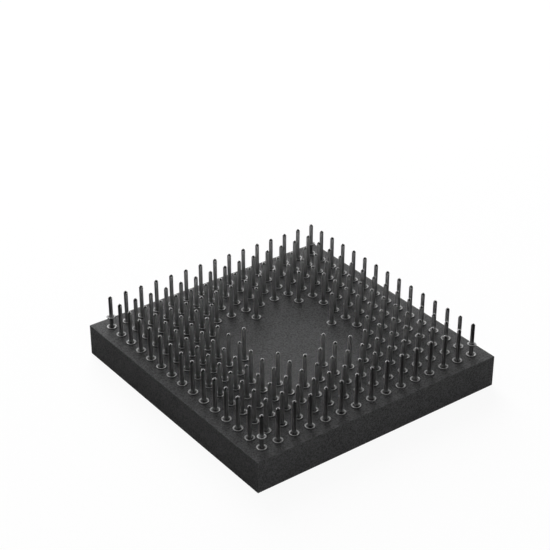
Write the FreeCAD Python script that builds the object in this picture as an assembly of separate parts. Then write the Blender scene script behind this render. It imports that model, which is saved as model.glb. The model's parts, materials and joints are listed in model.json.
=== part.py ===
# Ceramic pin grid package of a digital signal processor, lying on its plain face with its pins up.
#
# Millimetres. +Z is up, the origin is the middle of the plain face, and X and Y run along the sides
# of the square body. From the plain face up come the cap, the glass seal, the ceramic base with its
# stepped cavity open towards the cap, and on the base's far face the braze pads and the pins.
import FreeCAD
import Part
import math
import os

# Pin field
PITCH = 2.54
GRID_PLACES = 15
FULL_ROWS = 4
ROW_LETTERS = "abcdefghjklmnprtuvwy"

# Pins
PIN_DIAMETER = 0.56
PIN_REACH = 5.00
TIP_LENGTH = 0.28
COLLAR_DIAMETER = 1.30
COLLAR_THICKNESS = 0.15
SEATING_HEIGHT = 1.78

# Braze pads
PAD_DIAMETER = 1.50
PAD_THICKNESS = 0.11

# Pins and pads are repeated by the hundred, so each is a turning with flats in place of a round
PIN_FLATS = 6
PAD_FLATS = 8

# Body, from the corner pin's axis out to the side face, and through its layers
EDGE_MARGIN = 2.285
EDGE_BREAK = 0.05
CAP_THICKNESS = 1.20
SEAL_THICKNESS = 0.09
SEAL_SETBACK = 0.60
FLOOR_THICKNESS = 1.65

# Cavity
SHELF_DEPTH = 1.00
SHELF_WIDTH = 2.60
DIE_CLEARANCE = 0.90

# Die
DIE_SIDE = 11.00
DIE_THICKNESS = 0.50
DIE_RECESS = 0.20
ATTACH_THICKNESS = 0.05
ATTACH_FILLET = 0.25

# Bond wires, each a fine prism in place of a round wire
WIRES_PER_SIDE = 23
FLATS_PER_WIRE = 3
WIRE_DIAMETER = 0.04
LOOP_HEIGHT = 0.35
LOOP_CROWN = 0.30
BOND_INSET = 0.15
BOND_CORNER_GAP = 0.50
FINGER_SETBACK = 0.70
FINGER_CORNER_GAP = 0.30

# Two levels or lengths closer than this are the same one
SAME_PLACE = 1e-6

# Levels above the plain face
SEAL_LEVEL = CAP_THICKNESS
RIM_LEVEL = SEAL_LEVEL + SEAL_THICKNESS
SHELF_LEVEL = RIM_LEVEL + SHELF_DEPTH
DIE_FACE_LEVEL = SHELF_LEVEL + DIE_RECESS
DIE_BACK_LEVEL = DIE_FACE_LEVEL + DIE_THICKNESS
WELL_LEVEL = DIE_BACK_LEVEL + ATTACH_THICKNESS
PIN_FACE_LEVEL = WELL_LEVEL + FLOOR_THICKNESS
PAD_LEVEL = PIN_FACE_LEVEL + PAD_THICKNESS
SEATING_LEVEL = PIN_FACE_LEVEL + SEATING_HEIGHT
TIP_LEVEL = PIN_FACE_LEVEL + PIN_REACH

# Sides of the squares that follow from the sizes above
FIELD_SPAN = (GRID_PLACES - 1) * PITCH
BODY_SIDE = FIELD_SPAN + 2 * EDGE_MARGIN
WELL_SIDE = DIE_SIDE + 2 * DIE_CLEARANCE
SHELF_SIDE = WELL_SIDE + 2 * SHELF_WIDTH
SEAL_OPENING = SHELF_SIDE + 2 * SEAL_SETBACK


def pin_places():
    """Grid places that hold a pin, as (column, row): the full outer rows, then eight just inside."""
    last = GRID_PLACES - 1
    inner_first = FULL_ROWS
    inner_last = last - FULL_ROWS
    inner_stops = (inner_first, (inner_first + inner_last) // 2, inner_last)
    places = []
    for row in range(GRID_PLACES):
        for column in range(GRID_PLACES):
            depth = min(column, row, last - column, last - row)
            on_inner_ring = depth == FULL_ROWS and column in inner_stops and row in inner_stops
            if depth < FULL_ROWS or on_inner_ring:
                places.append((column, row))
    return places


def corner_places():
    """The four corners of the grid, whose pins carry the stand-off collars."""
    last = GRID_PLACES - 1
    return [(0, 0), (last, 0), (last, last), (0, last)]


def at_place(solid, place):
    """A copy of a solid modelled about the Z axis, moved to a grid place."""
    column, row = place
    moved = solid.copy()
    moved.translate(FreeCAD.Vector(column * PITCH - FIELD_SPAN / 2, row * PITCH - FIELD_SPAN / 2, 0))
    return moved


def closed_solid(loops):
    """A solid whose flat faces are given as loops of corner points."""
    faces = [Part.Face(Part.makePolygon(loop + [loop[0]])) for loop in loops]
    shell = Part.makeShell(faces)
    solid = Part.makeSolid(shell)
    if solid.Volume < 0:
        solid.reverse()
    return solid


def flat_sided_turning(profile, flats):
    """A turned piece with flats for its round, which hold as much metal as the round would.

    The profile runs up the axis as (radius, height) pairs, and the last radius may be zero for a point.
    """
    turn = 2 * math.pi / flats
    corner_reach = math.sqrt(turn / math.sin(turn))
    rings = []
    for radius, height in profile:
        if radius == 0:
            rings.append([FreeCAD.Vector(0, 0, height)])
            continue
        ring = []
        for corner in range(flats):
            angle = (corner + 0.5) * turn
            east = radius * corner_reach * math.cos(angle)
            north = radius * corner_reach * math.sin(angle)
            ring.append(FreeCAD.Vector(east, north, height))
        rings.append(ring)
    loops = [rings[0]]
    for lower, upper in zip(rings, rings[1:]):
        for corner in range(flats):
            following = (corner + 1) % flats
            if len(upper) == 1:
                loops.append([lower[corner], lower[following], upper[0]])
            else:
                loops.append([lower[corner], lower[following], upper[following], upper[corner]])
    if len(rings[-1]) > 1:
        loops.append(rings[-1])
    return closed_solid(loops)


def square_block(side, bottom, top):
    """A square block about the Z axis between two levels."""
    corner = FreeCAD.Vector(-side / 2, -side / 2, bottom)
    return Part.makeBox(side, side, top - bottom, corner)


def upright_edges(block):
    """The four edges of a block that run its whole height."""
    height = block.BoundBox.ZLength
    return [edge for edge in block.Edges if abs(edge.BoundBox.ZLength - height) < SAME_PLACE]


def rim_edges(block, level):
    """The four edges of a block that lie at one level."""
    rim = []
    for edge in block.Edges:
        box = edge.BoundBox
        if abs(box.ZMin - level) < SAME_PLACE and abs(box.ZMax - level) < SAME_PLACE:
            rim.append(edge)
    return rim


def ceramic_base():
    """The fired body: a block with broken edges, a mouth down to the bond shelf and a well for the die."""
    block = square_block(BODY_SIDE, RIM_LEVEL, PIN_FACE_LEVEL)
    block = block.makeChamfer(EDGE_BREAK, upright_edges(block) + rim_edges(block, PIN_FACE_LEVEL))
    mouth = square_block(SHELF_SIDE, RIM_LEVEL, SHELF_LEVEL)
    well = square_block(WELL_SIDE, RIM_LEVEL, WELL_LEVEL)
    return block.cut(mouth.fuse(well)).removeSplitter()


def cap_plate():
    """The plain plate over the cavity, as large as the base, with the plain face's edges broken."""
    plate = square_block(BODY_SIDE, 0, CAP_THICKNESS)
    return plate.makeChamfer(EDGE_BREAK, upright_edges(plate) + rim_edges(plate, 0))


def glass_seal():
    """The frame of sealing glass between cap and base, set back from the cavity's mouth."""
    plate = square_block(BODY_SIDE, SEAL_LEVEL, RIM_LEVEL)
    plate = plate.makeChamfer(EDGE_BREAK, upright_edges(plate))
    return plate.cut(square_block(SEAL_OPENING, SEAL_LEVEL, RIM_LEVEL))


def die_attach():
    """The layer that holds the die to the floor of the well and shows as a narrow border around it."""
    return square_block(DIE_SIDE + 2 * ATTACH_FILLET, DIE_BACK_LEVEL, WELL_LEVEL)


def silicon_die():
    """The die, with its working face towards the cap."""
    return square_block(DIE_SIDE, DIE_FACE_LEVEL, DIE_BACK_LEVEL)


def plain_pin():
    """A pin from its pad to its tapered tip."""
    radius = PIN_DIAMETER / 2
    profile = [(radius, PAD_LEVEL), (radius, TIP_LEVEL - TIP_LENGTH), (0, TIP_LEVEL)]
    return flat_sided_turning(profile, PIN_FLATS)


def standoff_pin():
    """A corner pin with the collar that sets the height of the body over a board.

    Above the collar, where it enters the board's hole, the shaft is turned true.
    """
    radius = PIN_DIAMETER / 2
    collar_radius = COLLAR_DIAMETER / 2
    collar_level = SEATING_LEVEL - COLLAR_THICKNESS
    shoulder_level = TIP_LEVEL - TIP_LENGTH
    foot = flat_sided_turning([(radius, PAD_LEVEL), (radius, collar_level)], PIN_FLATS)
    collar = flat_sided_turning([(collar_radius, collar_level), (collar_radius, SEATING_LEVEL)], PAD_FLATS)
    shaft = Part.makeCylinder(radius, shoulder_level - SEATING_LEVEL, FreeCAD.Vector(0, 0, SEATING_LEVEL))
    tip = Part.makeCone(radius, 0, TIP_LENGTH, FreeCAD.Vector(0, 0, shoulder_level))
    return foot.fuse([collar, shaft, tip]).Solids[0]


def braze_pad():
    """The raised metal pad under a pin."""
    radius = PAD_DIAMETER / 2
    return flat_sided_turning([(radius, PIN_FACE_LEVEL), (radius, PAD_LEVEL)], PAD_FLATS)


def crossing(point, direction, level):
    """Where a line in a wire's own plane, as (run, height), reaches a level."""
    share = (level - point[1]) / direction[1]
    return (point[0] + share * direction[0], level)


def wire_rail(landings, offset):
    """One long edge of a bond wire in the wire's own plane, set off from its centre line.

    The landings are the (run, height) points of the bond on the die, the crown and the bond on the shelf.
    The rail ends flush on the die and on the shelf, and turns at the crown's mitre.
    """
    start, crown, end = landings
    first = (crown[0] - start[0], crown[1] - start[1])
    second = (end[0] - crown[0], end[1] - crown[1])
    normals = []
    for run, rise in (first, second):
        length = math.hypot(run, rise)
        normals.append((-rise / length, run / length))
    bisector = (normals[0][0] + normals[1][0], normals[0][1] + normals[1][1])
    stretch = 2 * offset / (bisector[0] ** 2 + bisector[1] ** 2)
    turn = (crown[0] + stretch * bisector[0], crown[1] + stretch * bisector[1])
    return [crossing(turn, first, start[1]), turn, crossing(turn, second, end[1])]


def bond_wire(die_bond, finger_bond):
    """A flat-sided wire that rises off the die, turns at its crown and comes down on the shelf.

    Both bonds are points on the die's face and on the shelf.
    """
    reach = FreeCAD.Vector(finger_bond.x - die_bond.x, finger_bond.y - die_bond.y, 0)
    span = reach.Length
    along = FreeCAD.Vector(reach).normalize()
    across = FreeCAD.Vector(-along.y, along.x, 0)
    landings = [(0, die_bond.z), (LOOP_CROWN * span, SHELF_LEVEL - LOOP_HEIGHT), (span, finger_bond.z)]
    radius = WIRE_DIAMETER / 2
    rails = []
    for corner in range(FLATS_PER_WIRE):
        angle = corner * 2 * math.pi / FLATS_PER_WIRE
        rail = []
        for run, height in wire_rail(landings, radius * math.cos(angle)):
            point = FreeCAD.Vector(die_bond.x, die_bond.y, height)
            rail.append(point + along * run + across * (radius * math.sin(angle)))
        rails.append(rail)
    loops = [[rail[0] for rail in rails], [rail[-1] for rail in rails]]
    for side, rail in enumerate(rails):
        beside = rails[(side + 1) % len(rails)]
        for stop in range(len(rail) - 1):
            loops.append([rail[stop], rail[stop + 1], beside[stop + 1], beside[stop]])
    return closed_solid(loops)


def wires_on_one_side(count):
    """The bond wires along the die's edge that faces -Y, fanned out to the shelf."""
    bond_row = -(DIE_SIDE / 2 - BOND_INSET)
    finger_row = -(WELL_SIDE / 2 + FINGER_SETBACK)
    bond_span = DIE_SIDE - 2 * BOND_CORNER_GAP
    finger_span = WELL_SIDE - 2 * FINGER_CORNER_GAP
    wires = []
    for number in range(count):
        share = number / (count - 1) - 0.5
        die_bond = FreeCAD.Vector(share * bond_span, bond_row, DIE_FACE_LEVEL)
        finger_bond = FreeCAD.Vector(share * finger_span, finger_row, SHELF_LEVEL)
        wires.append(bond_wire(die_bond, finger_bond))
    return wires


def turned_quarters(solids, quarters):
    """Copies of solids turned about the Z axis by a number of right angles."""
    turned = []
    for solid in solids:
        copy = solid.copy()
        copy.rotate(FreeCAD.Vector(0, 0, 0), FreeCAD.Vector(0, 0, 1), 90 * quarters)
        turned.append(copy)
    return turned


def save(name, solids):
    """Write one node, a single solid or a group of separate ones."""
    shape = solids[0] if len(solids) == 1 else Part.makeCompound(solids)
    shape.exportStep("parts/" + name + ".step")


os.makedirs("parts", exist_ok=True)

save("ceramic_base", [ceramic_base()])
save("cap_plate", [cap_plate()])
save("glass_seal", [glass_seal()])
save("die_attach", [die_attach()])
save("silicon_die", [silicon_die()])

all_places = pin_places()
corners = corner_places()

front_wires = wires_on_one_side(WIRES_PER_SIDE)
for quarters, side_name in enumerate(("front", "right", "back", "left")):
    save("bond_wires_" + side_name, turned_quarters(front_wires, quarters))

pad = braze_pad()
save("braze_pads", [at_place(pad, place) for place in all_places])

collared = standoff_pin()
save("standoff_pins", [at_place(collared, place) for place in corners])

pin = plain_pin()
for row_number in range(GRID_PLACES):
    row_places = [place for place in all_places if place[1] == row_number and place not in corners]
    save("pins_row_" + ROW_LETTERS[row_number], [at_place(pin, place) for place in row_places])
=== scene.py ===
"""Looks of a digital signal processor chip in a ceramic pin grid package, lying on its plain face.

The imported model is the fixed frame, in metres. The ceramic body and what its closed cavity holds keep their
solids and get their finishes here. The pins with their collars and the braze pads are modelled again as
turned metal, in the places where the frame has them.
"""

import json
import logging
import math
from collections.abc import Callable
from dataclasses import dataclass, field, replace
from enum import Enum

import bmesh
import bpy
from mathutils import Matrix, Vector

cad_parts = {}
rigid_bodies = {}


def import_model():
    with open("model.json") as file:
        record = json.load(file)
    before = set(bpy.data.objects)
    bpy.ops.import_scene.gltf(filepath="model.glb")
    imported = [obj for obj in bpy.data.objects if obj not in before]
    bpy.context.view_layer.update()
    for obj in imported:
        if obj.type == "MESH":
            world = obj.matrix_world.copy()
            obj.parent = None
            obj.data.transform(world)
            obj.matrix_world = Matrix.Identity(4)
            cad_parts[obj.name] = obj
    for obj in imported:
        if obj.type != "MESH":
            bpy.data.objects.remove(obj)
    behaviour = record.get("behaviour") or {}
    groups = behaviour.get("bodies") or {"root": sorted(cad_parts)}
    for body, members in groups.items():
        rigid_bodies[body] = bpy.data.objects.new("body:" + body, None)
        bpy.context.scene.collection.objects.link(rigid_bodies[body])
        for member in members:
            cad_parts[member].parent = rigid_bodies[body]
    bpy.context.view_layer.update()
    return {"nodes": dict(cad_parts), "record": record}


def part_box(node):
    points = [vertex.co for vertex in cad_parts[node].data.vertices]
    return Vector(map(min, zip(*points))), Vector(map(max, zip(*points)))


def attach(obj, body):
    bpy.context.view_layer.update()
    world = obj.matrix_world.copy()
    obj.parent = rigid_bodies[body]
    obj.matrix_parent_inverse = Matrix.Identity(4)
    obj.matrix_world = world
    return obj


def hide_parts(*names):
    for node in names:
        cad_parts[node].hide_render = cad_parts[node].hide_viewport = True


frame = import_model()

MM = 0.001
BODY = "root"
WHITE = (1, 1, 1, 1)
BLACK = (0, 0, 0, 1)

# A noise lies around its middle and mostly within this reach
NOISE_MIDDLE = 0.5
NOISE_REACH = (0.3, 0.7)
NOISE_DETAIL = 3.0

# Least upward part of the normal of a face that looks up
LOOKS_UP = 0.9

# Elevations of the domed cards, in degrees
HORIZON = 0.0
ZENITH = 90.0

# Pairs of a radius and a height, or of a step inwards and a step down
Steps = tuple[tuple[float, float], ...]

# Says of a face's mean radius and height whether the face wears a finish
FaceRule = Callable[[float, float], bool]

log = logging.getLogger("chip")


class Slot(Enum):
    """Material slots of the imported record."""

    CERAMIC = "ceramic"
    SEALING_GLASS = "sealing_glass"
    SILVER_GLASS = "silver_glass"
    SILICON = "silicon"
    BOND_WIRE = "bond_wire"
    BRAZE = "braze"
    PIN_PLATING = "pin_plating"


class NodeBench:
    """A material on the bench: its nodes are added and joined with short calls."""

    def __init__(self, name: str) -> None:
        """Start a material with its Principled shader.

        Args:
            name: The material's name.
        """
        self.material = bpy.data.materials.new(name)
        self.material.use_nodes = True
        self.tree = self.material.node_tree
        self.shader = self.tree.nodes["Principled BSDF"]
        self.place = self.add("ShaderNodeTexCoord").outputs["Object"]

    def add(self, kind: str, **inputs: object) -> bpy.types.Node:
        """Add a node and fill its inputs.

        Args:
            kind: The node's type name.
            inputs: A value or a socket for each input, with underscores for spaces in its name.

        Returns:
            The new node.
        """
        node = self.tree.nodes.new(kind)
        for name, value in inputs.items():
            self.feed(node.inputs[name.replace("_", " ")], value)
        return node

    def feed(self, socket: bpy.types.NodeSocket, value: object) -> None:
        """Give an input a value, or join another node's output to it.

        Args:
            socket: The input.
            value: A plain value, or an output socket.
        """
        if isinstance(value, bpy.types.NodeSocket):
            self.tree.links.new(value, socket)
        else:
            socket.default_value = value

    def noise(self, grain: float, stretch: float = 1.0) -> bpy.types.NodeSocket:
        """Noise in the object's own space.

        Args:
            grain: Size of one grain.
            stretch: How many times longer the grain is along the pins.

        Returns:
            The noise from 0 to 1.
        """
        sizes = (1 / grain, 1 / grain, 1 / (grain * stretch))
        place = self.add("ShaderNodeMapping", Vector=self.place, Scale=sizes).outputs["Vector"]
        node = self.add("ShaderNodeTexNoise", Vector=place, Scale=1.0, Detail=NOISE_DETAIL)
        return node.outputs["Fac"]

    def spread(self, noise: bpy.types.NodeSocket, low: float, high: float) -> bpy.types.NodeSocket:
        """Spread the middle of a noise over a range of values.

        Args:
            noise: The noise.
            low: Value at the noise's lower reach.
            high: Value at its upper reach.

        Returns:
            The value.
        """
        return self.ramp(noise, NOISE_REACH, (low, high))

    def ramp(
        self, value: bpy.types.NodeSocket, run: tuple[float, float], ends: tuple[float, float]
    ) -> bpy.types.NodeSocket:
        """Map a run of a value onto two ends, which also hold outside the run.

        Args:
            value: The value.
            run: The value's run.
            ends: What its two ends become.

        Returns:
            The mapped value.
        """
        node = self.add(
            "ShaderNodeMapRange", Value=value,
            From_Min=run[0], From_Max=run[1], To_Min=ends[0], To_Max=ends[1],
        )
        return node.outputs["Result"]

    def scaled(self, colour: bpy.types.NodeSocket, share: bpy.types.NodeSocket) -> bpy.types.NodeSocket:
        """Make a colour darker or lighter.

        Args:
            colour: The colour.
            share: What it is multiplied by.

        Returns:
            The colour.
        """
        node = self.add("ShaderNodeVectorMath")
        node.operation = "SCALE"
        self.feed(node.inputs["Vector"], colour)
        self.feed(node.inputs["Scale"], share)
        return node.outputs["Vector"]

    def shades(
        self, noise: bpy.types.NodeSocket, dark: tuple, light: tuple, reach: float = 0.2
    ) -> bpy.types.NodeSocket:
        """Run a noise between two colours.

        Args:
            noise: The noise.
            dark: Colour at its lower reach.
            light: Colour at its upper reach.
            reach: How far from its middle the noise reaches both.

        Returns:
            The colour.
        """
        colours = self.add("ShaderNodeValToRGB", Fac=noise)
        stops = colours.color_ramp.elements
        stops[0].position, stops[0].color = NOISE_MIDDLE - reach, (*dark, 1.0)
        stops[1].position, stops[1].color = NOISE_MIDDLE + reach, (*light, 1.0)
        return colours.outputs["Color"]

    def bump(self, noise: bpy.types.NodeSocket, depth: float) -> bpy.types.NodeSocket:
        """Raise a noise as a bump.

        Args:
            noise: The noise.
            depth: Height of the bump.

        Returns:
            The normal.
        """
        return self.add("ShaderNodeBump", Height=noise, Distance=depth).outputs["Normal"]


@dataclass(frozen=True)
class CeramicFinish:
    """Fired dark alumina or sealing glass: matt, with a fine grain, faint clouds and a little sheen.

    Attributes:
        name: The material's name.
        shade: Middle colour.
        grain_contrast: How far the fine grain leaves the middle colour, as a share.
        grain_reach: How far from its middle the grain's noise reaches both ends of the colour.
        cloud_contrast: How far the clouds leave the middle colour.
        grain: Size of a grain.
        cloud: Size of a cloud.
        tooth: Depth of the grain's bump.
        roughness: Lowest and highest roughness.
        sheen: Lowest and highest share of the sheen, where 0.5 is that of the refractive index.
        refraction: Refractive index.
    """

    name: str
    shade: tuple[float, float, float]
    grain_contrast: float = 0.25
    grain_reach: float = 0.12
    cloud_contrast: float = 0.06
    grain: float = 0.2 * MM
    cloud: float = 5.0 * MM
    tooth: float = 0.016 * MM
    roughness: tuple[float, float] = (0.5, 0.62)
    sheen: tuple[float, float] = (0.15, 0.85)
    refraction: float = 1.5

    def material(self) -> bpy.types.Material:
        """Make the material.

        Returns:
            The material.
        """
        bench = NodeBench(self.name)
        grain = bench.noise(self.grain)
        cloud = bench.noise(self.cloud)
        dark = tuple(part * (1 - self.grain_contrast) for part in self.shade)
        light = tuple(part * (1 + self.grain_contrast) for part in self.shade)
        grained = bench.shades(grain, dark, light, self.grain_reach)
        clouds = bench.spread(cloud, 1 - self.cloud_contrast, 1 + self.cloud_contrast)
        bench.feed(bench.shader.inputs["Base Color"], bench.scaled(grained, clouds))
        bench.feed(bench.shader.inputs["IOR"], self.refraction)
        bench.feed(bench.shader.inputs["Specular IOR Level"], bench.spread(grain, *self.sheen))
        bench.feed(bench.shader.inputs["Roughness"], bench.spread(grain, *self.roughness))
        bench.feed(bench.shader.inputs["Normal"], bench.bump(grain, self.tooth))
        return bench.material


@dataclass(frozen=True)
class MetalFinish:
    """Plated or brazed metal: nearly even in colour, with a gloss that changes over its marks.

    Attributes:
        name: The material's name.
        dark: Colour in the dull places.
        light: Colour in the bright places.
        roughness: Lowest and highest roughness.
        grain: Size of a mark across.
        tooth: Depth of the marks.
        stretch: How many times longer a mark is along the pins.
        metallic: How metallic the surface is.
        painted_shade_heights: Heights between which its colour is darkened as painted shade, most at the
            lower one.
        painted_shade_share: Share of its colour that is left at the lower one.
    """

    name: str
    dark: tuple[float, float, float]
    light: tuple[float, float, float]
    roughness: tuple[float, float]
    grain: float
    tooth: float
    stretch: float = 1.0
    metallic: float = 1.0
    painted_shade_heights: tuple[float, float] | None = None
    painted_shade_share: float = 0.5

    def material(self) -> bpy.types.Material:
        """Make the material.

        Returns:
            The material.
        """
        bench = NodeBench(self.name)
        marks = bench.noise(self.grain, self.stretch)
        colour = bench.shades(marks, self.dark, self.light)
        # Painted shade: the colour darkens towards the lower of these heights
        if self.painted_shade_heights:
            height = bench.add("ShaderNodeSeparateXYZ", Vector=bench.place).outputs["Z"]
            colour = bench.scaled(colour, bench.ramp(height, self.painted_shade_heights, (self.painted_shade_share, 1.0)))
        bench.feed(bench.shader.inputs["Metallic"], self.metallic)
        bench.feed(bench.shader.inputs["Base Color"], colour)
        bench.feed(bench.shader.inputs["Roughness"], bench.spread(marks, *self.roughness))
        bench.feed(bench.shader.inputs["Normal"], bench.bump(marks, self.tooth))
        return bench.material


@dataclass(frozen=True)
class SiliconFinish:
    """The die: polished silicon under its glassy coat, with the faint checks of its circuit blocks.

    Attributes:
        name: The material's name.
        block: Size of a circuit block.
        dark: Colour of the darker blocks.
        light: Colour of the lighter blocks.
        roughness: Lowest and highest roughness.
        metallic: How metallic the surface is.
    """

    name: str = "polished_silicon"
    block: float = 0.45 * MM
    dark: tuple[float, float, float] = (0.10, 0.11, 0.14)
    light: tuple[float, float, float] = (0.20, 0.21, 0.25)
    roughness: tuple[float, float] = (0.12, 0.2)
    metallic: float = 0.4

    def material(self) -> bpy.types.Material:
        """Make the material.

        Returns:
            The material.
        """
        bench = NodeBench(self.name)
        sizes = (1 / self.block,) * 3
        place = bench.add("ShaderNodeMapping", Vector=bench.place, Scale=sizes).outputs["Vector"]
        blocks = bench.add("ShaderNodeTexVoronoi", Vector=place, Scale=1.0)
        blocks.distance = "CHEBYCHEV"
        tone = bench.add("ShaderNodeRGBToBW", Color=blocks.outputs["Color"]).outputs["Val"]
        bench.feed(bench.shader.inputs["Base Color"], bench.shades(tone, self.dark, self.light))
        bench.feed(bench.shader.inputs["Roughness"], bench.spread(tone, *self.roughness))
        bench.feed(bench.shader.inputs["Metallic"], self.metallic)
        return bench.material


FIRED_ALUMINA = CeramicFinish("fired_alumina", shade=(0.03, 0.03, 0.0305))
SEAL_GLASS = CeramicFinish("sealing_glass", shade=(0.026, 0.026, 0.0265), roughness=(0.42, 0.56))
SILVER_FILLED_GLASS = MetalFinish(
    "silver_filled_glass", dark=(0.42, 0.41, 0.38), light=(0.66, 0.64, 0.6), roughness=(0.45, 0.65),
    grain=0.08 * MM, tooth=0.01 * MM,
)
DRAWN_WIRE = MetalFinish(
    "drawn_aluminium_wire", dark=(0.74, 0.74, 0.75), light=(0.86, 0.86, 0.87), roughness=(0.2, 0.35),
    grain=0.02 * MM, tooth=0.001 * MM,
)
NICKEL_BRAZE = MetalFinish(
    "nickel_over_braze", dark=(0.38, 0.38, 0.38), light=(0.48, 0.48, 0.48), roughness=(0.46, 0.57),
    grain=0.14 * MM, tooth=0.01 * MM, metallic=0.66,
)
# Dark copy of the braze, laid where shade falls: painted shade on the pads' walls and inner faces, on the
# collars outside their bright rings and on the shafts under them
SHADED_BRAZE = MetalFinish(
    "dull_braze", dark=(0.09, 0.09, 0.09), light=(0.15, 0.15, 0.15), roughness=(0.5, 0.65),
    grain=0.14 * MM, tooth=0.01 * MM, metallic=0.85,
)
COLLAR_PLATE = MetalFinish(
    "plated_collar_metal", dark=(0.6, 0.6, 0.6), light=(0.72, 0.72, 0.72), roughness=(0.5, 0.62),
    grain=0.14 * MM, tooth=0.01 * MM, metallic=0.8,
)
PIN_PLATE = MetalFinish(
    "plated_pin_metal", dark=(0.7, 0.7, 0.7), light=(0.82, 0.82, 0.82), roughness=(0.28, 0.38),
    grain=0.05 * MM, tooth=0.002 * MM, stretch=14.0,
)
# A darker, glossier copy of the pin metal for the domed tips: painted shade that dims their reflections
SHADED_PIN_TIP = MetalFinish(
    "rubbed_pin_tip", dark=(0.62, 0.62, 0.62), light=(0.72, 0.72, 0.72), roughness=(0.2, 0.3),
    grain=0.05 * MM, tooth=0.001 * MM,
)


def select_only(*objects: bpy.types.Object) -> None:
    """Select these objects and nothing else, the first as the active one.

    Args:
        objects: The objects.
    """
    bpy.ops.object.select_all(action="DESELECT")
    for piece in objects:
        piece.select_set(True)
    bpy.context.view_layer.objects.active = objects[0]


def select_faces(piece: bpy.types.Object, wanted: Callable[[bmesh.types.BMFace], bool]) -> None:
    """Select faces in edit mode by a rule.

    Args:
        piece: The piece, in edit mode.
        wanted: Says of a face whether it is selected.
    """
    mesh = bmesh.from_edit_mesh(piece.data)
    for face in mesh.faces:
        face.select_set(wanted(face))
    mesh.select_flush_mode()
    bmesh.update_edit_mesh(piece.data)


@dataclass(frozen=True)
class Turning:
    """A turned piece, shaped upright over the origin.

    Attributes:
        name: The piece's name.
        sides: Number of sides that stand for the round.
        profile: (radius, height) steps from the foot up. A last radius of zero closes in a point.
        crease: Angle between faces above which an edge stays sharp, in degrees.
    """

    name: str
    sides: int
    profile: Steps
    crease: float = 50.0

    def build(self) -> bpy.types.Object:
        """Turn the piece: a cylinder for its first step, whose end face is then drawn through the others.

        Returns:
            The piece.
        """
        (first_radius, foot), (radius, height) = self.profile[:2]
        bpy.ops.object.select_all(action="DESELECT")
        middle = (0, 0, (foot + height) / 2)
        bpy.ops.mesh.primitive_cylinder_add(
            vertices=self.sides, radius=first_radius, depth=height - foot, location=middle
        )
        piece = bpy.context.active_object
        piece.name = piece.data.name = self.name
        bpy.ops.object.transform_apply(location=True, rotation=True, scale=True)
        bpy.ops.object.mode_set(mode="EDIT")
        bpy.ops.mesh.select_mode(type="FACE")
        select_faces(piece, lambda face: face.normal.z > LOOKS_UP)
        self.resize_end(radius / first_radius, height)
        for next_radius, next_height in self.profile[2:]:
            bpy.ops.mesh.extrude_region_move(TRANSFORM_OT_translate={"value": (0, 0, next_height - height)})
            if next_radius == 0:
                bpy.ops.mesh.merge(type="CENTER")
                break
            self.resize_end(next_radius / radius, next_height)
            radius, height = next_radius, next_height
        bpy.ops.mesh.select_all(action="SELECT")
        bpy.ops.mesh.normals_make_consistent(inside=False)
        bpy.ops.object.mode_set(mode="OBJECT")
        select_only(piece)
        bpy.ops.object.shade_smooth_by_angle(angle=math.radians(self.crease))
        return piece

    @staticmethod
    def resize_end(share: float, height: float) -> None:
        """Widen or narrow the selected end face about the axis.

        Args:
            share: New radius over the old one.
            height: Level of the face.
        """
        if share != 1:
            bpy.ops.transform.resize(value=(share, share, 1), center_override=(0, 0, height))


def planted(master: bpy.types.Object, places: list[Vector], name: str) -> bpy.types.Object:
    """Stand a copy of a master at each place and join the copies.

    Args:
        master: The piece that is copied, modelled over the origin.
        places: Where the copies stand.
        name: Name of the joined piece.

    Returns:
        The joined piece, whose places are in its mesh.
    """
    copies = []
    for place in places:
        copy = master.copy()
        copy.data = master.data.copy()
        copy.data.transform(Matrix.Translation(place))
        bpy.context.scene.collection.objects.link(copy)
        copies.append(copy)
    select_only(*copies)
    if len(copies) > 1:
        bpy.ops.object.join()
    joined = bpy.context.active_object
    joined.name = joined.data.name = name
    return joined


def dress(piece: bpy.types.Object, material: bpy.types.Material) -> None:
    """Give a piece its only material.

    Args:
        piece: The piece.
        material: The material.
    """
    piece.data.materials.clear()
    piece.data.materials.append(material)


def finish_parts(piece: bpy.types.Object, parts: dict[bpy.types.Material, FaceRule]) -> None:
    """Give parts of a turned piece their own finishes.

    Args:
        piece: The piece, over the origin.
        parts: Each material with its rule. A later rule goes before an earlier one.
    """
    vertices = piece.data.vertices
    for number, (material, worn) in enumerate(parts.items()):
        piece.data.materials.append(material)
        for face in piece.data.polygons:
            radius = sum(vertices[index].co.xy.length for index in face.vertices) / len(face.vertices)
            if worn(radius, face.center.z):
                face.material_index = number


def mount_named(name: str) -> dict:
    """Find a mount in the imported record.

    Args:
        name: The mount's name.

    Returns:
        The mount.
    """
    return next(mount for mount in frame["record"]["mounts"] if mount["name"] == name)


@dataclass
class CeramicBody:
    """The fired base, its cap and the glass between them, which keep their solids."""

    alumina: CeramicFinish = FIRED_ALUMINA
    glass: CeramicFinish = SEAL_GLASS

    def dress(self) -> None:
        """Give the three layers their finishes."""
        alumina = self.alumina.material()
        dress(frame["nodes"]["ceramic_base"], alumina)
        dress(frame["nodes"]["cap_plate"], alumina)
        dress(frame["nodes"]["glass_seal"], self.glass.material())
        log.info("ceramic body: base, cap and glass seal")


@dataclass
class DieCavity:
    """What the closed cavity holds: the die on its attach layer and the bond wires."""

    def dress(self) -> None:
        """Give the pieces in the cavity their finishes."""
        dress(frame["nodes"]["silicon_die"], SiliconFinish().material())
        dress(frame["nodes"]["die_attach"], SILVER_FILLED_GLASS.material())
        wire = DRAWN_WIRE.material()
        for side in ("front", "right", "back", "left"):
            dress(frame["nodes"]["bond_wires_" + side], wire)
        log.info("die cavity: die, attach layer and bond wires")


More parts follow.
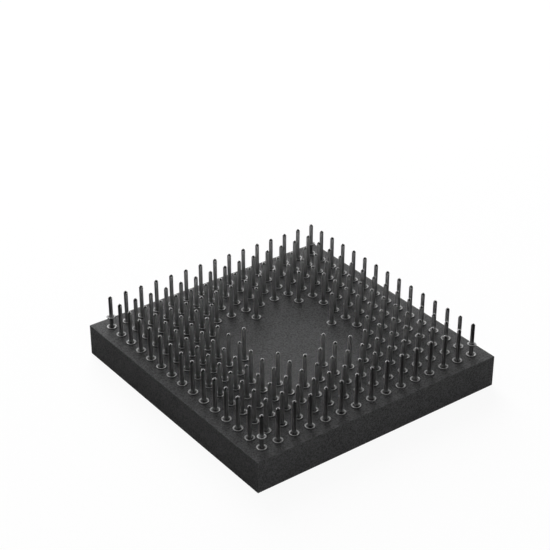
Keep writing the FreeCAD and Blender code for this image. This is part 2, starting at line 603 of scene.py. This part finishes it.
@dataclass
class PinField:
    """The pins on their grid, the collared pins at its corners and the pad under each.

    Attributes:
        places_per_side: Grid places along a side.
        shaft: Diameter of a pin.
        tip: Length of a pin's domed tip.
        tip_steps: Rings that round the dome.
        shaft_sides: Sides of a plain pin.
        painted_shade_run: Height above the face up to which the pins' colour is darkened as painted shade at
            their feet.
        collar: Diameter of a stand-off collar.
        collar_thickness: Thickness of a collar.
        collar_edge: Size of the broken edge under a collar.
        collar_bead: The rounded rim above it, as steps in from the rim and down from the seating plane.
        collar_sides: Sides of a collared pin.
        pad: Diameter of a pad.
        pad_bead: The pad's rounded rim, as steps in from the rim and down from its top.
        pad_sides: Sides of a pad.
        pad_crease: Angle between a pad's faces above which an edge stays sharp, in degrees.
        collar_shade_radius: Radius, just outside the shaft, from which a collar is painted dark as shade,
            except on its bright ring.
        collar_bright: Radii between which it is bright.
        pad_bright: Radii between which a pad is bright.
        pitch: Distance between grid places.
        face: Level of the face that the pads lie on.
        pad_top: Highest level of a pad.
        foot: Level of the dished face that a pin stands on.
        seat: Level of the collars' upper faces, on which the chip seats.
        collar_foot: Level of their lower faces.
        end: Level of the pins' ends.
    """

    places_per_side: int = 15
    shaft: float = 0.56 * MM
    tip: float = 0.28 * MM
    tip_steps: int = 3
    shaft_sides: int = 12
    painted_shade_run: float = 2.0 * MM
    collar: float = 1.30 * MM
    collar_thickness: float = 0.15 * MM
    collar_edge: float = 0.05 * MM
    collar_bead: Steps = (
        (0, 0.06 * MM), (0.04 * MM, 0.02 * MM), (0.1 * MM, 0), (0.25 * MM, 0.006 * MM),
    )
    collar_sides: int = 32
    pad: float = 1.50 * MM
    pad_bead: Steps = (
        (0, 0.05 * MM), (0.06 * MM, 0), (0.2 * MM, 0.012 * MM), (0.26 * MM, 0.04 * MM),
    )
    pad_sides: int = 14
    pad_crease: float = 80.0
    collar_shade_radius: float = 0.29 * MM
    collar_bright: tuple[float, float] = (0.42 * MM, 0.6 * MM)
    pad_bright: tuple[float, float] = (0.5 * MM, 0.7 * MM)
    pitch: float = field(init=False)
    face: float = field(init=False)
    pad_top: float = field(init=False)
    foot: float = field(init=False)
    seat: float = field(init=False)
    collar_foot: float = field(init=False)
    end: float = field(init=False)

    def __post_init__(self) -> None:
        """Take the grid and the levels from the frame."""
        corners = mount_named("corner_pins")
        self.pitch = corners["dims"]["spacing_x_mm"] * MM / (self.places_per_side - 1)
        self.seat = corners["pos_m"][2]
        self.collar_foot = self.seat - self.collar_thickness
        self.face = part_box("ceramic_base")[1].z
        self.pad_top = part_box("braze_pads")[1].z
        self.foot = self.pad_top - self.pad_bead[-1][1]
        self.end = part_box("standoff_pins")[1].z

    def places_of(self, node: str) -> list[Vector]:
        """Find the grid places that a node of the frame fills.

        Args:
            node: The node's name.

        Returns:
            The places, on the plain face's level.
        """
        filled = set()
        for vertex in frame["nodes"][node].data.vertices:
            filled.add((round(vertex.co.x / self.pitch), round(vertex.co.y / self.pitch)))
        return [Vector((column * self.pitch, row * self.pitch, 0)) for column, row in sorted(filled)]

    def dome(self) -> Steps:
        """Work out the tip's outline.

        Returns:
            (radius, height) steps from the shaft's end to the pole.
        """
        radius = self.shaft / 2
        steps = []
        for step in range(self.tip_steps + 1):
            angle = step / self.tip_steps * math.pi / 2
            steps.append((radius * math.cos(angle), self.end - self.tip + self.tip * math.sin(angle)))
        steps[-1] = (0, self.end)
        return tuple(steps)

    @staticmethod
    def bead(rim: float, top: float, steps: Steps) -> Steps:
        """Work out the outline of a rounded rim.

        Args:
            rim: Radius of the rim.
            top: Highest level of the rim.
            steps: Steps in from the rim and down from the top.

        Returns:
            (radius, height) steps from the rim inwards.
        """
        return tuple((rim - inward, top - down) for inward, down in steps)

    def plain_pin(self) -> bpy.types.Object:
        """Model a plain pin.

        Returns:
            The pin, over the origin.
        """
        return Turning("plain_pin", self.shaft_sides, ((self.shaft / 2, self.foot), *self.dome())).build()

    def collared_pin(self) -> bpy.types.Object:
        """Model a corner pin with its stand-off collar, whose edges are rounded.

        Returns:
            The pin, over the origin.
        """
        radius = self.shaft / 2
        rim = self.collar / 2
        profile = (
            (radius, self.foot),
            (radius, self.collar_foot),
            (rim - self.collar_edge, self.collar_foot),
            (rim, self.collar_foot + self.collar_edge),
            *self.bead(rim, self.seat, self.collar_bead),
            (radius, self.seat - self.collar_bead[-1][1]),
            *self.dome(),
        )
        return Turning("collared_pin", self.collar_sides, profile).build()

    def braze_pad(self) -> bpy.types.Object:
        """Model a pad with its raised rim round the dished face that the pin stands on.

        Returns:
            The pad, over the origin.
        """
        rim = self.pad / 2
        profile = ((rim, self.face), *self.bead(rim, self.pad_top, self.pad_bead))
        return Turning("braze_pad", self.pad_sides, profile, self.pad_crease).build()

    @staticmethod
    def ring(finish: MetalFinish, radii: tuple[float, float]) -> dict[bpy.types.Material, FaceRule]:
        """Give the faces between two radii a finish.

        Args:
            finish: The finish.
            radii: The radii.

        Returns:
            The material with its rule.
        """
        return {finish.material(): lambda radius, height: radii[0] < radius < radii[1]}

    def build(self) -> None:
        """Model the pins and pads and stand them in the frame's places."""
        dull_braze = SHADED_BRAZE.material()
        # The pins darken towards their feet, near the face: painted shade
        plate = replace(PIN_PLATE, painted_shade_heights=(self.face, self.face + self.painted_shade_run))
        shaft = {plate.material(): lambda radius, height: True}
        # The domed tips wear the darker copy of the pin metal: painted shade
        tip = {SHADED_PIN_TIP.material(): lambda radius, height: height > self.end - self.tip}
        plain = self.plain_pin()
        finish_parts(plain, shaft | tip)
        for node in sorted(frame["nodes"]):
            if node.startswith("pins_row_"):
                self.plant(plain, node, node.replace("pins_row", "turned_pins"))
        collared = self.collared_pin()
        # Painted shade: the collar outside its bright ring, and the shaft under the collar, wear the dark
        # braze
        painted_collar_shade = {
            dull_braze: lambda radius, height: radius > self.collar_shade_radius or height < self.collar_foot
        }
        finish_parts(collared, shaft | tip | painted_collar_shade | self.ring(COLLAR_PLATE, self.collar_bright))
        self.plant(collared, "standoff_pins", "turned_standoff_pins")
        pad = self.braze_pad()
        # Painted shade: the pad's wall and its face round the pin wear the dark braze, and only the ring
        # keeps the bright nickel
        painted_pad_shade = {dull_braze: lambda radius, height: True}
        finish_parts(pad, painted_pad_shade | self.ring(NICKEL_BRAZE, self.pad_bright))
        self.plant(pad, "braze_pads", "turned_braze_pads")
        for master in (plain, collared, pad):
            bpy.data.objects.remove(master)

    def plant(self, master: bpy.types.Object, node: str, name: str) -> None:
        """Stand copies of a master wherever a node has a pin, in place of that node.

        Args:
            master: The piece that is copied.
            node: The frame's node.
            name: Name of the new piece.
        """
        places = self.places_of(node)
        piece = planted(master, places, name)
        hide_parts(node)
        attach(piece, BODY)
        log.info("%s: %d places, %d faces", name, len(places), len(piece.data.polygons))


@dataclass(frozen=True)
class Softbox:
    """A soft lamp.

    Attributes:
        name: The lamp's name.
        place: Where it hangs.
        width: Width of its square face.
        level: Light that it gives the object, where 1 shows a colour as it is written.
    """

    name: str
    place: tuple[float, float, float]
    width: float
    level: float

    def hang(self, target: Vector) -> None:
        """Hang the lamp so that it faces the object.

        Args:
            target: Where it points.
        """
        reach = target - Vector(self.place)
        lamp = bpy.data.lights.new(self.name, "AREA")
        lamp.shape = "SQUARE"
        lamp.size = self.width
        # Light spreads over a half sphere from the lamp, and again from a matt surface: pi for each
        lamp.energy = self.level * math.pi * math.pi * reach.length_squared
        holder = bpy.data.objects.new(self.name, lamp)
        holder.location = self.place
        holder.rotation_mode = "QUATERNION"
        holder.rotation_quaternion = reach.to_track_quat("-Z", "Y")
        holder.visible_glossy = False
        bpy.context.scene.collection.objects.link(holder)


@dataclass(frozen=True)
class StudioCards:
    """Cards that only glossy rays see: bright bands low behind the object, and dark ones around it.

    Attributes:
        front: Direction from the object towards the camera, along the floor.
        reach: Distance of the domed cards from the object.
        bands: Bright bands from the floor up, each with the elevations of its foot and its top in
            degrees and its level at the sides and behind the object.
        lean: How far the brightest place lies to the left, as a share.
        ceiling: Level of the card above the bands.
        dark: Level of the card on the camera's side.
        table: Level of the floor in the mirror, before and behind the object.
        table_run: Distances behind the object between which the floor's level changes.
        table_width: Width of the floor's card.
        table_lift: Height of the floor's card above the floor.
        dome_lift: How far above the level of its elevation a domed card is cut, to clear the floor's.
        segments: Sides of a domed card's whole round.
        rings: Rings of its whole sphere.
    """

    front: tuple[float, float]
    reach: float = 1.2
    bands: tuple[tuple[float, float, float, float], ...] = (
        (0.0, 6.0, 0.4, 3.9), (6.0, 20.0, 0.25, 1.6), (20.0, 42.0, 0.1, 0.35),
    )
    lean: float = 0.3
    ceiling: float = 0.035
    dark: float = 0.006
    table: tuple[float, float] = (0.012, 0.6)
    table_run: tuple[float, float] = (30.0 * MM, 200.0 * MM)
    table_width: float = 3.0
    table_lift: float = 0.1 * MM
    dome_lift: float = 0.2 * MM
    segments: int = 64
    rings: int = 32

    def set_up(self) -> None:
        """Set up the cards."""
        back = -Vector((*self.front, 0)).normalized()
        left = Vector((-back.y, back.x, 0))
        brightest = (back + self.lean * left).normalized()
        run = (0.0, self.reach)
        dark = self.glow("dark_card", (self.dark, self.dark), brightest, run)
        grey = self.glow("grey_card", (self.ceiling, self.ceiling), brightest, run)
        self.hide_from_others(self.dome("dark_cove", HORIZON, ZENITH, -back), dark)
        for place, (foot, top, side, middle) in enumerate(self.bands):
            bright = self.glow(f"bright_card_{place}", (side, middle), brightest, run)
            self.hide_from_others(self.dome(f"bright_band_{place}", foot, top, back), bright)
        self.hide_from_others(self.dome("grey_ceiling", self.bands[-1][1], ZENITH, back), grey)
        self.hide_from_others(self.table_card(), self.glow("table_card", self.table, back, self.table_run))

    @staticmethod
    def hide_from_others(card: bpy.types.Object, material: bpy.types.Material) -> None:
        """Give a card its material and let only glossy rays see it.

        Args:
            card: The card.
            material: The material.
        """
        card.data.materials.append(material)
        card.visible_camera = False
        card.visible_diffuse = False
        card.visible_shadow = False
        card.visible_transmission = False

    @staticmethod
    def glow(
        name: str, levels: tuple[float, float], direction: Vector, run: tuple[float, float]
    ) -> bpy.types.Material:
        """Make a card's material, whose level may change in one direction.

        Args:
            name: The material's name.
            levels: Its level before and after the change, where 1 is white.
            direction: Direction of the change.
            run: Distances from the origin between which the level changes.

        Returns:
            The material.
        """
        bench = NodeBench(name)
        along = bench.add("ShaderNodeVectorMath")
        along.operation = "DOT_PRODUCT"
        bench.feed(along.inputs[0], bench.place)
        bench.feed(along.inputs[1], direction)
        level = bench.ramp(along.outputs["Value"], run, levels)
        bench.feed(bench.shader.inputs["Base Color"], BLACK)
        bench.feed(bench.shader.inputs["Specular IOR Level"], 0.0)
        bench.feed(bench.shader.inputs["Emission Color"], WHITE)
        bench.feed(bench.shader.inputs["Emission Strength"], level)
        return bench.material

    def dome(self, name: str, foot: float, top: float, toward: Vector) -> bpy.types.Object:
        """Cut a part of a dome that stands over one side of the object.

        Args:
            name: The card's name.
            foot: Elevation at which it starts, in degrees.
            top: Elevation at which it ends.
            toward: Side of the object that it covers.

        Returns:
            The card.
        """
        bpy.ops.object.select_all(action="DESELECT")
        bpy.ops.mesh.primitive_uv_sphere_add(
            segments=self.segments, ring_count=self.rings, radius=self.reach
        )
        card = bpy.context.active_object
        card.name = name
        bpy.ops.object.mode_set(mode="EDIT")
        bpy.ops.mesh.select_all(action="SELECT")
        bpy.ops.mesh.bisect(plane_co=(0, 0, 0), plane_no=toward, clear_inner=True)
        for elevation, side in ((foot, 1), (top, -1)):
            if elevation < ZENITH:
                height = self.reach * math.sin(math.radians(elevation)) + self.dome_lift
                bpy.ops.mesh.select_all(action="SELECT")
                bpy.ops.mesh.bisect(plane_co=(0, 0, height), plane_no=(0, 0, side), clear_inner=True)
        bpy.ops.object.mode_set(mode="OBJECT")
        return card

    def table_card(self) -> bpy.types.Object:
        """Lay the card over the floor.

        Returns:
            The card.
        """
        bpy.ops.object.select_all(action="DESELECT")
        bpy.ops.mesh.primitive_plane_add(size=self.table_width, location=(0, 0, self.table_lift))
        card = bpy.context.active_object
        card.name = "grey_table"
        return card


@dataclass
class Studio:
    """A pale floor, soft lamps, a white surround and the camera.

    Attributes:
        floor_width: Width of the floor.
        floor_shade: Level of the floor's paper.
        floor_lift: Share of the floor's own glow in what the camera and mirrors see.
        floor_glow: Level of that glow, where 1 is white.
        ambient: Level of the surround's light on the object.
        lens: Focal length of the camera, in millimetres.
        sensor: Width of its sensor, in millimetres.
        nearest: Nearest distance that it sees.
        camera_place: Where the camera stands.
        camera_aim: Direction in which it looks.
        key: The lamp above and behind the object.
        side: The lamp on its left.
        fill: The lamp in front.
    """

    floor_width: float = 6.0
    floor_shade: float = 0.7
    floor_lift: float = 0.94
    floor_glow: float = 0.98
    ambient: float = 0.22
    lens: float = 99.44
    sensor: float = 36.0
    nearest: float = 1.0 * MM
    camera_place: tuple[float, float, float] = (-108.386 * MM, -141.464 * MM, 118.004 * MM)
    camera_aim: tuple[float, float, float] = (0.5194, 0.6932, -0.4997)
    key: Softbox = Softbox("key_softbox", (0.18, 0.43, 0.3), 0.36, 2.2)
    side: Softbox = Softbox("side_softbox", (-0.3, 0.22, 0.44), 0.3, 0.3)
    fill: Softbox = Softbox("fill_softbox", (-0.14, -0.44, 0.22), 0.4, 0.68)

    def build(self) -> None:
        """Set up the whole studio."""
        self.set_surround()
        self.lay_floor()
        for lamp in (self.key, self.side, self.fill):
            lamp.hang(Vector((0, 0, 0)))
        StudioCards(front=(-self.camera_aim[0], -self.camera_aim[1])).set_up()
        self.set_camera()
        bpy.context.scene.view_settings.view_transform = "Standard"
        log.info("studio: floor, surround, lamps and camera")

    @staticmethod
    def seen_directly(tree: bpy.types.NodeTree) -> bpy.types.NodeSocket:
        """Tell the rays that show a surface from those that only carry its light.

        Args:
            tree: The node tree.

        Returns:
            One for camera, glossy and transmission rays, zero for the others.
        """
        path = tree.nodes.new("ShaderNodeLightPath")
        seen = path.outputs["Is Camera Ray"]
        for kind in ("Is Glossy Ray", "Is Transmission Ray"):
            either = tree.nodes.new("ShaderNodeMath")
            either.operation = "MAXIMUM"
            tree.links.new(seen, either.inputs[0])
            tree.links.new(path.outputs[kind], either.inputs[1])
            seen = either.outputs["Value"]
        return seen

    @staticmethod
    def mix_shaders(
        tree: bpy.types.NodeTree, share: bpy.types.NodeSocket, first: bpy.types.NodeSocket,
        second: bpy.types.NodeSocket, output: str,
    ) -> None:
        """Mix two shaders and join them to the surface of a tree's output.

        Args:
            tree: The node tree.
            share: Share of the second shader.
            first: The first shader.
            second: The second shader.
            output: Name of the output node.
        """
        mix = tree.nodes.new("ShaderNodeMixShader")
        tree.links.new(share, mix.inputs["Fac"])
        tree.links.new(first, mix.inputs[1])
        tree.links.new(second, mix.inputs[2])
        tree.links.new(mix.outputs["Shader"], tree.nodes[output].inputs["Surface"])

    def set_surround(self) -> None:
        """Make a surround that looks white and lights the object softly."""
        world = bpy.data.worlds.new("white_surround")
        bpy.context.scene.world = world
        world.use_nodes = True
        tree = world.node_tree
        soft = tree.nodes["Background"]
        soft.inputs["Color"].default_value = WHITE
        soft.inputs["Strength"].default_value = self.ambient
        white = tree.nodes.new("ShaderNodeBackground")
        white.inputs["Color"].default_value = WHITE
        self.mix_shaders(
            tree, self.seen_directly(tree), soft.outputs["Background"], white.outputs["Background"],
            "World Output",
        )

    def lay_floor(self) -> None:
        """Lay a pale floor that reads as white and keeps a light shadow."""
        bpy.ops.object.select_all(action="DESELECT")
        bpy.ops.mesh.primitive_plane_add(size=self.floor_width, location=(0, 0, 0))
        floor = bpy.context.active_object
        floor.name = "pale_floor"
        material = bpy.data.materials.new("pale_paper")
        material.use_nodes = True
        tree = material.node_tree
        paper = tree.nodes["Principled BSDF"]
        paper.inputs["Base Color"].default_value = (self.floor_shade,) * 3 + (1,)
        paper.inputs["Roughness"].default_value = 1.0
        paper.inputs["Specular IOR Level"].default_value = 0.0
        glow = tree.nodes.new("ShaderNodeEmission")
        glow.inputs["Strength"].default_value = self.floor_glow
        share = tree.nodes.new("ShaderNodeMath")
        share.operation = "MULTIPLY"
        tree.links.new(self.seen_directly(tree), share.inputs[0])
        share.inputs[1].default_value = self.floor_lift
        self.mix_shaders(
            tree, share.outputs["Value"], paper.outputs["BSDF"], glow.outputs["Emission"],
            "Material Output",
        )
        floor.data.materials.append(material)

    def set_camera(self) -> None:
        """Place the camera at the viewing angle of the picture that the part follows."""
        camera = bpy.data.cameras.new("camera")
        camera.lens = self.lens
        camera.sensor_width = self.sensor
        camera.clip_start = self.nearest
        holder = bpy.data.objects.new("camera", camera)
        holder.location = self.camera_place
        holder.rotation_mode = "QUATERNION"
        holder.rotation_quaternion = Vector(self.camera_aim).to_track_quat("-Z", "Y")
        bpy.context.scene.collection.objects.link(holder)
        bpy.context.scene.camera = holder


def main() -> None:
    """Dress the frame, model the metalwork and set up the studio."""
    logging.basicConfig(level=logging.INFO, format="%(name)s: %(message)s")
    CeramicBody().dress()
    DieCavity().dress()
    PinField().build()
    Studio().build()


if __name__ == "__main__":
    main()
